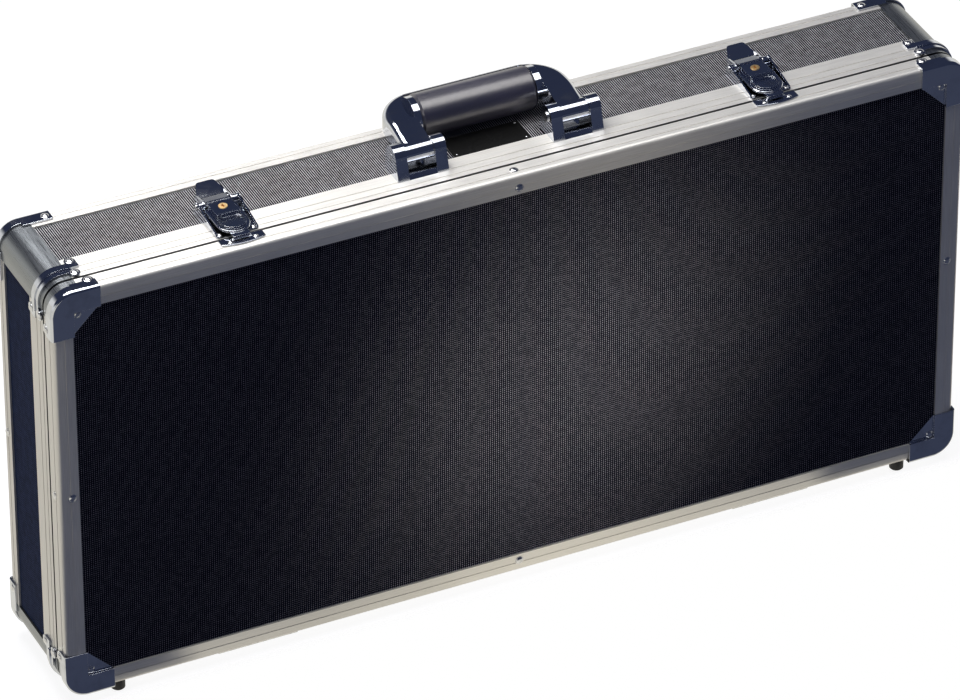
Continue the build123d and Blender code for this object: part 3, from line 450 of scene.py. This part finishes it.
def softened(node_name, width, finish, segments=2):
    """A copy of a CAD node whose sharp edges are really rounded, standing for the node."""
    mesh = nodes[node_name].data.copy()
    mesh.name = f"{node_name}_look"
    work = bmesh.new()
    work.from_mesh(mesh)
    bmesh.ops.remove_doubles(work, verts=work.verts, dist=WELD)
    bmesh.ops.dissolve_limit(
        work, angle_limit=math.radians(FLAT_DEGREES), verts=work.verts, edges=work.edges)
    sharp = [
        e for e in work.edges
        if len(e.link_faces) == 2 and e.calc_face_angle(0.0) > math.radians(SHARP_DEGREES)
    ]
    bmesh.ops.bevel(
        work, geom=sharp, offset=width, offset_type="OFFSET", segments=segments, profile=0.5,
        affect="EDGES", clamp_overlap=True, loop_slide=True)
    work.to_mesh(mesh)
    work.free()
    smooth_by_angle(mesh)
    piece = stand_in(node_name, f"{node_name}_look", mesh, finish)
    normals = piece.modifiers.new("flat_faces", "WEIGHTED_NORMAL")
    normals.mode = "FACE_AREA"
    normals.weight = 100
    normals.keep_sharp = True
    return piece


def leaning_bracket(hand):
    """A handle bracket whose front sheet leans forward towards its foot, as pressed ones do."""
    name = f"handle_bracket_{hand}"
    piece = softened(name, BRACKET_ROUND, "chrome")
    middle = HANDLE_PIVOT[1] - BRACKET_FRONT
    drop = HANDLE_PIVOT[2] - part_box(name)[0][2]
    for vertex in piece.data.vertices:
        if vertex.co.y < middle:
            share = min(1.0, max(0.0, (HANDLE_PIVOT[2] - vertex.co.z) / drop))
            vertex.co.y -= BRACKET_LEAN * share


# ---------------------------------------------------------------- rivets and pins

# A domed head with a thin flange: shares of its radius, each with its share of the height
HEAD_PROFILE = (
    (1.0, 0.0), (1.0, 0.14), (0.93, 0.22), (0.86, 0.23), (0.82, 0.34), (0.74, 0.56), (0.60, 0.77),
    (0.42, 0.91), (0.22, 0.98),
)
# Radius of a domed head against the plain one that it stands for
HEAD_SPREAD = 1.16
HEAD_SIDES = 20
# Corners this close along a head's axis are on one ring
RING_TOLERANCE = 1e-5

PIN_SIDES = 14
PIN_RISE = 0.0009
PLATE_PIN_RADIUS = 0.0010
PLATE_PIN_INSET = 0.0026
PLATE_PIN_SUNK = 0.0003

# Rivets of the hinge leaves: places along a leaf, and in from its free edge, as shares of it
HINGE_Y = JOINT_PLACES["lid_hinge"][1]
LEAF_THICKNESS = 0.00115
LEAF_RIVET_RADIUS = 0.0019
LEAF_RIVET_SHARES = (0.15, 0.5, 0.85)
LEAF_RIVET_INSET = 0.35


def head_place(corners):
    """Seat, outward direction, radius and height of a tapered rivet head."""
    low, high = extent(corners)
    middle = (low + high) / 2
    run = min(range(3), key=lambda i: high[i] - low[i])

    def reach(level):
        """Radius of the head at one level of its axis."""
        ring = [c - middle for c in corners if abs(c[run] - level) < RING_TOLERANCE]
        for c in ring:
            c[run] = 0.0
        return max(c.length for c in ring)

    low_reach, high_reach = reach(low[run]), reach(high[run])
    outwards = Vector((0, 0, 0))
    outwards[run] = 1.0 if low_reach > high_reach else -1.0
    seat = middle.copy()
    seat[run] = low[run] if outwards[run] > 0 else high[run]
    return seat, outwards, max(low_reach, high_reach), high[run] - low[run]


def add_dome(vertices, faces, seat, outwards, radius, height, count):
    """Add a domed head with count sides to a mesh's lists."""
    turn = outwards.to_track_quat("Z", "Y").to_matrix()
    first = len(vertices)
    for share, rise in HEAD_PROFILE:
        reach = share * radius
        for i in range(count):
            angle = 2 * math.pi * i / count
            ring = Vector((reach * math.cos(angle), reach * math.sin(angle), rise * height))
            vertices.append(seat + turn @ ring)
    for level in range(len(HEAD_PROFILE) - 1):
        for i in range(count):
            a = first + level * count + i
            b = first + level * count + (i + 1) % count
            faces.append((a, b, b + count, a + count))
    last = first + (len(HEAD_PROFILE) - 1) * count
    vertices.append(seat + turn @ Vector((0, 0, height)))
    top = len(vertices) - 1
    faces.extend((last + i, last + (i + 1) % count, top) for i in range(count))


def make_rivets(node_name):
    """Domed rivets in place of the plain heads of the solids."""
    vertices, faces = [], []
    for corners in islands(nodes[node_name].data):
        seat, outwards, radius, height = head_place(corners)
        add_dome(vertices, faces, seat, outwards, radius * HEAD_SPREAD, height, HEAD_SIDES)
    mesh = mesh_of(f"{node_name}_domed", vertices, faces)
    smooth_by_angle(mesh)
    stand_in(node_name, f"{node_name}_domed", mesh, "steel")


def make_pins(name, places, outwards, radius, body):
    """Small domed pins at given places."""
    vertices, faces = [], []
    for place in places:
        add_dome(vertices, faces, Vector(place), Vector(outwards), radius, PIN_RISE, PIN_SIDES)
    mesh = mesh_of(name, vertices, faces)
    smooth_by_angle(mesh)
    new_piece(name, mesh, body, "steel")


def plate_pins():
    """Four pins that hold the bare plate between the handle brackets."""
    low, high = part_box("name_plate")
    places = [
        (x, y, high[2] - PLATE_PIN_SUNK)
        for x in (low[0] + PLATE_PIN_INSET, high[0] - PLATE_PIN_INSET)
        for y in (low[1] + PLATE_PIN_INSET, high[1] - PLATE_PIN_INSET)
    ]
    make_pins(
        "name_plate_pins", places, (0, 0, 1), PLATE_PIN_RADIUS, "case_body")


def hinge_rivets(node_name, body):
    """Three rivets in each leaf of the hinges, on the underside."""
    places = []
    for corners in islands(nodes[node_name].data):
        low, high = extent(corners)
        edge = max(low[1], high[1], key=lambda y: abs(y - HINGE_Y))
        y = edge + (HINGE_Y - edge) * LEAF_RIVET_INSET
        for share in LEAF_RIVET_SHARES:
            places.append((low[0] + (high[0] - low[0]) * share, y, high[2] - LEAF_THICKNESS))
    make_pins(
        f"{node_name}_rivets", places, (0, 0, -1), LEAF_RIVET_RADIUS, body)


# ---------------------------------------------------------------- laminate ribs

# The part of each side's laminate that shows between its profiles and corner posts
LAMINATE_Y = (-0.0117, 0.0331)
LAMINATE_MARGIN = 0.0048
RIB_RISE = 0.00022
# Heights across one rib, and of its foot above the wall, as shares of its rise
RIB_LEVELS = (0.0, 0.72, 1.0, 0.72)
RIB_FOOT = 0.05


def ribbed_skin(side):
    """Pressed ribs of a side's laminate, running from front to back."""
    low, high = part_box(f"body_wall_{side}")
    run = "xyz".index(SIDE_AXIS[side])
    out = 2 - run
    positive = side in ("top", "right")
    surface = high[out] if positive else low[out]
    rise = RIB_RISE if positive else -RIB_RISE
    start, end = low[run] + LAMINATE_MARGIN, high[run] - LAMINATE_MARGIN
    steps = len(RIB_LEVELS)
    total = int((end - start) / RIB_PITCH) * steps
    vertices = []
    for i in range(total + 1):
        along = start + i * RIB_PITCH / steps
        for y in LAMINATE_Y:
            place = [0.0, y, 0.0]
            place[run] = along
            place[out] = surface + rise * (RIB_FOOT + RIB_LEVELS[i % steps])
            vertices.append(place)
    flip = positive == (run == 0)
    faces = []
    for i in range(total):
        corners = (2 * i, 2 * i + 2, 2 * i + 3, 2 * i + 1)
        faces.append(corners if flip else corners[::-1])
    mesh = mesh_of(f"wall_ribs_{side}", vertices, faces)
    smooth_by_angle(mesh, degrees=80)
    new_piece(
        f"wall_ribs_{side}", mesh, "case_body", f"ribs_{SIDE_AXIS[side]}")


# ---------------------------------------------------------------- foam linings

# A slab's face falls off over this width at its edges, down to half of its thickness
FOAM_EDGE = 0.006
FOAM_FALL = 0.75
TRAY_FOAM_STEP = 0.008
LID_FOAM_STEP = 0.004
# Reliefs of the faces: the pitch of the egg crate, and how far each face swings from its mean
CRATE_PITCH = 0.032
CRATE_SWING = 0.0024
SETTLED_SWING = 0.0004


def foam_block(node_name, faces_front, relief, step):
    """A cut foam slab: a shaped face, softly pulled in towards its edges, and a flat back."""
    low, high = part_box(node_name)
    across = max(2, int((high[0] - low[0]) / step))
    up = max(2, int((high[2] - low[2]) / step))
    thick = high[1] - low[1]
    back = high[1] if faces_front else low[1]
    towards = -1.0 if faces_front else 1.0
    vertices = []
    for j in range(up + 1):
        z = low[2] + (high[2] - low[2]) * j / up
        for i in range(across + 1):
            x = low[0] + (high[0] - low[0]) * i / across
            margin = min(x - low[0], high[0] - x, z - low[2], high[2] - z)
            pull = 1.0 - min(1.0, margin / FOAM_EDGE)
            height = (thick - relief(x, z)) * math.sqrt(max(0.0, 1.0 - FOAM_FALL * pull * pull))
            vertices.append((x, back + towards * height, z))
    row = across + 1
    faces = []
    for j in range(up):
        for i in range(across):
            a = j * row + i
            faces.append((a, a + 1, a + row + 1, a + row))
    rim = list(range(row)) + [j * row + across for j in range(1, up + 1)]
    rim += [up * row + i for i in range(across - 1, -1, -1)] + [j * row for j in range(up - 1, 0, -1)]
    first = len(vertices)
    vertices += [(vertices[i][0], back, vertices[i][2]) for i in rim]
    total = len(rim)
    for i in range(total):
        follow = (i + 1) % total
        faces.append((rim[i], first + i, first + follow, rim[follow]))
    faces.append(tuple(first + i for i in range(total)))
    if not faces_front:
        faces = [face[::-1] for face in faces]
    mesh = mesh_of(f"{node_name}_soft", vertices, faces)
    smooth_by_angle(mesh, degrees=50)
    piece = stand_in(node_name, f"{node_name}_soft", mesh, "foam")


def egg_crate(x, z):
    """Hollows between rounded peaks."""
    peak = math.sin(2 * math.pi * x / CRATE_PITCH) * math.sin(2 * math.pi * z / CRATE_PITCH)
    return CRATE_SWING * (1.0 - peak)


def settled(x, z):
    """The slight unevenness of a flat slab that has carried weight."""
    wave = math.sin(21.0 * x + 1.3) * math.sin(34.0 * z + 0.4) + 0.5 * math.sin(57.0 * x - 41.0 * z)
    return SETTLED_SWING * (1.5 - wave)


# ---------------------------------------------------------------- stage and light

WHITE = (1.0, 1.0, 1.0)
FLOOR_HALF = 9.0
FLOOR_GLOW = 0.90
# Painted reflections: what reflections see of the floor is a painted glow, painted shade in front of
# the case and painted light behind it and far to its left. Between the corner caps the painted light
# starts well before the case, and beside them only at its front.
FLOOR_PAINTED_SHADE = (0.045, 0.055, 0.095)
FLOOR_PAINTED_LIGHT = (0.86, 0.83, 0.74)
BRIGHT_BEHIND_Y = (-0.17, -0.06)
BRIGHT_CAPS_Y = (-0.064, -0.056)
BETWEEN_CAPS_X = (0.235, 0.262)
BRIGHT_LEFT_X = (-0.42, -0.62)
# In front of the standing case the floor lets the camera see the lid, which opens past level there
LID_SWEEP_Y = (-0.062, -0.050)
LID_SWEEP_X = (0.40, 0.48)

# What the world shows to reflections, and the fill that it gives to matt surfaces
BACKDROP = (0.95, 0.94, 0.90)
CEILING = (0.030, 0.038, 0.072)
FILL = (0.020, 0.028, 0.066)
# Where the backdrop fades in, by the direction of view: downwards, to the back and to the left
BACKDROP_DOWN = (0.42, 0.16)
BACKDROP_BACK = (-0.1, 0.3)
BACKDROP_LEFT = (-0.5, -0.8)

SHEEN_COLOUR = (1.0, 0.92, 0.72)
SHEEN_RADIUS = 0.10


def make_floor():
    """Pale floor: white to the camera and see-through where the opened lid hangs, but to reflections a
    painted glow, with painted shade in front of the case."""
    half = FLOOR_HALF
    mesh = mesh_of(
        "floor", [(-half, -half, 0), (half, -half, 0), (half, half, 0), (-half, half, 0)],
        [(0, 1, 2, 3)])
    floor = bpy.data.objects.new("floor", mesh)
    bpy.context.scene.collection.objects.link(floor)
    shader = Shader("pale_floor", Roughness=0.9, Specular_IOR_Level=0.1)
    camera, mirrored = shader.rays()
    # Painted reflections: to reflections the floor's own colour drops to near black, and its glow below
    # paints their light and shade.
    shader.colour(shader.mix(mirrored, (0.22, 0.22, 0.24), (0.02, 0.02, 0.02)))
    sideways = shader.math("ABSOLUTE", shader.axis(0))
    behind = shader.ramp(shader.axis(1), *BRIGHT_BEHIND_Y)
    behind_caps = shader.ramp(shader.axis(1), *BRIGHT_CAPS_Y)
    between_caps = shader.ramp(sideways, *BETWEEN_CAPS_X, 1.0, 0.0)
    behind = shader.math("MINIMUM", behind, shader.math("MAXIMUM", behind_caps, between_caps))
    zone = shader.math("MAXIMUM", behind, shader.ramp(shader.axis(0), *BRIGHT_LEFT_X))
    reflected = shader.mix(zone, FLOOR_PAINTED_SHADE, FLOOR_PAINTED_LIGHT)
    seen = shader.mix(camera, reflected, (FLOOR_GLOW, FLOOR_GLOW, FLOOR_GLOW))
    shader.link(seen, shader.bsdf.inputs["Emission Color"])
    shader.link(shader.math("MAXIMUM", camera, mirrored), shader.bsdf.inputs["Emission Strength"])
    before = shader.ramp(shader.axis(1), *LID_SWEEP_Y, 1.0, 0.0)
    spread = shader.ramp(sideways, *LID_SWEEP_X, 1.0, 0.0)
    clear = shader.math("MULTIPLY", camera, shader.math("MULTIPLY", before, spread))
    shader.link(shader.math("SUBTRACT", 1.0, clear), shader.bsdf.inputs["Alpha"])
    floor.data.materials.append(shader.material)


def make_world():
    """White backdrop near the horizon, a dark cool ceiling above it, and a weak cool fill."""
    world = bpy.data.worlds.new("studio")
    world.use_nodes = True
    bpy.context.scene.world = world
    sky = Graph(world.node_tree)
    sky.tree.nodes.clear()
    x, y, z = sky.split(sky.add("ShaderNodeTexCoord").outputs["Generated"])
    around = sky.math("MAXIMUM", sky.ramp(y, *BACKDROP_BACK), sky.ramp(x, *BACKDROP_LEFT))
    backdrop = sky.math("MULTIPLY", sky.ramp(z, *BACKDROP_DOWN), around)
    camera, mirrored = sky.rays()
    filled = sky.mix(mirrored, FILL, sky.mix(backdrop, CEILING, BACKDROP))
    background = sky.add("ShaderNodeBackground")
    sky.link(sky.mix(camera, filled, WHITE), background.inputs["Color"])
    output = sky.add("ShaderNodeOutputWorld")
    sky.link(background.outputs[0], output.inputs["Surface"])


def aim_light(light, place, target):
    """Hang a lamp at a place, turned to its target and out of the camera's sight."""
    bpy.context.scene.collection.objects.link(light)
    back = (Vector(place) - Vector(target)).normalized()
    up = back.cross(Vector((1, 0, 0))).normalized()
    turn = Matrix((up.cross(back), up, back)).transposed().to_4x4()
    light.matrix_world = Matrix.Translation(place) @ turn
    light.visible_camera = False


def make_softbox(name, place, target, size, watts, colour=WHITE):
    data = bpy.data.lights.new(name, "AREA")
    data.shape = "RECTANGLE"
    data.size, data.size_y = size
    data.energy = watts
    data.color = colour
    aim_light(bpy.data.objects.new(name, data), place, target)


def make_sheen(name, place, target, degrees, watts):
    """A soft warm spot that lights a patch of the front panel and isn't mirrored itself."""
    data = bpy.data.lights.new(name, "SPOT")
    data.spot_size = math.radians(degrees)
    data.spot_blend = 1.0
    data.shadow_soft_size = SHEEN_RADIUS
    data.energy = watts
    data.color = SHEEN_COLOUR
    light = bpy.data.objects.new(name, data)
    light.visible_glossy = False
    aim_light(light, place, target)


def make_studio():
    make_floor()
    make_world()
    make_softbox(
        "behind", place=(-0.15, 0.80, 1.50), target=(-0.05, 0.0, 0.34), size=(0.6, 0.4), watts=7.0)
    make_softbox(
        "overhead", place=(0.08, -0.18, 1.70), target=(0.05, 0.0, 0.3), size=(1.3, 0.95), watts=11.0)
    make_softbox(
        "key", place=(-0.32, 0.12, 0.98), target=(-0.22, 0.0, 0.3), size=(0.5, 0.4), watts=4.5,
        colour=(1.0, 0.99, 0.96))
    make_sheen(
        "panel_sheen_high", place=(0.40, -1.25, 0.30), target=(0.06, -0.05, 0.21), degrees=14.5,
        watts=66.0)
    make_sheen(
        "panel_sheen_low", place=(0.30, -1.25, 0.20), target=(0.01, -0.05, 0.10), degrees=15.0,
        watts=52.0)


# ---------------------------------------------------------------- the whole scene

# CAD nodes that keep their own shape and only take a finish
PLAIN = {
    "dots": ("back_panel", "lid_panel"),
    "post": ("body_corner_posts", "lid_corner_pieces"),
    "rubber": ("lid_feet", "body_feet"),
    "steel": (
        "hinge_pins", "hinge_body_leaves", "hinge_lid_leaves", "latch_lever_stubs", "handle_pivot_pins",
        "latch_link_pin_left", "latch_link_pin_right",
    ),
    "grip": ("handle_grip",),
}

bpy.context.scene.view_settings.view_transform = "Standard"
make_camera()
make_studio()

for finish, node_names in PLAIN.items():
    for node_name in node_names:
        dress(nodes[node_name], finish)
for side, axis in SIDE_AXIS.items():
    for part in ("body_rim", "body_edge", "lid_frame"):
        dress(nodes[f"{part}_{side}"], f"aluminium_{axis}")
    dress(nodes[f"body_wall_{side}"], f"ribs_{axis}")
    ribbed_skin(side)
foam_block("tray_foam", True, settled, TRAY_FOAM_STEP)
foam_block("lid_foam", False, egg_crate, LID_FOAM_STEP)
make_rivets("body_rivets")
make_rivets("lid_rivets")
softened("name_plate", PLATE_ROUND, "plate")
plate_pins()
hinge_rivets("hinge_body_leaves", "case_body")
hinge_rivets("hinge_lid_leaves", "lid")
softened("handle_bow", BOW_ROUND, "chrome")
for corner in CORNERS:
    for part in ("lid_cap", "back_cap", "corner_bracket"):
        softened(f"{part}_{corner}", CAP_ROUND, "chrome")
for hand in HANDS:
    softened(f"latch_lock_{hand}", LOCK_ROUND, "brass")
    leaning_bracket(hand)
    for part in ("latch_base", "latch_catch", "latch_lever", "latch_hasp"):
        softened(f"{part}_{hand}", LATCH_ROUND, "chrome", LATCH_SEGMENTS)
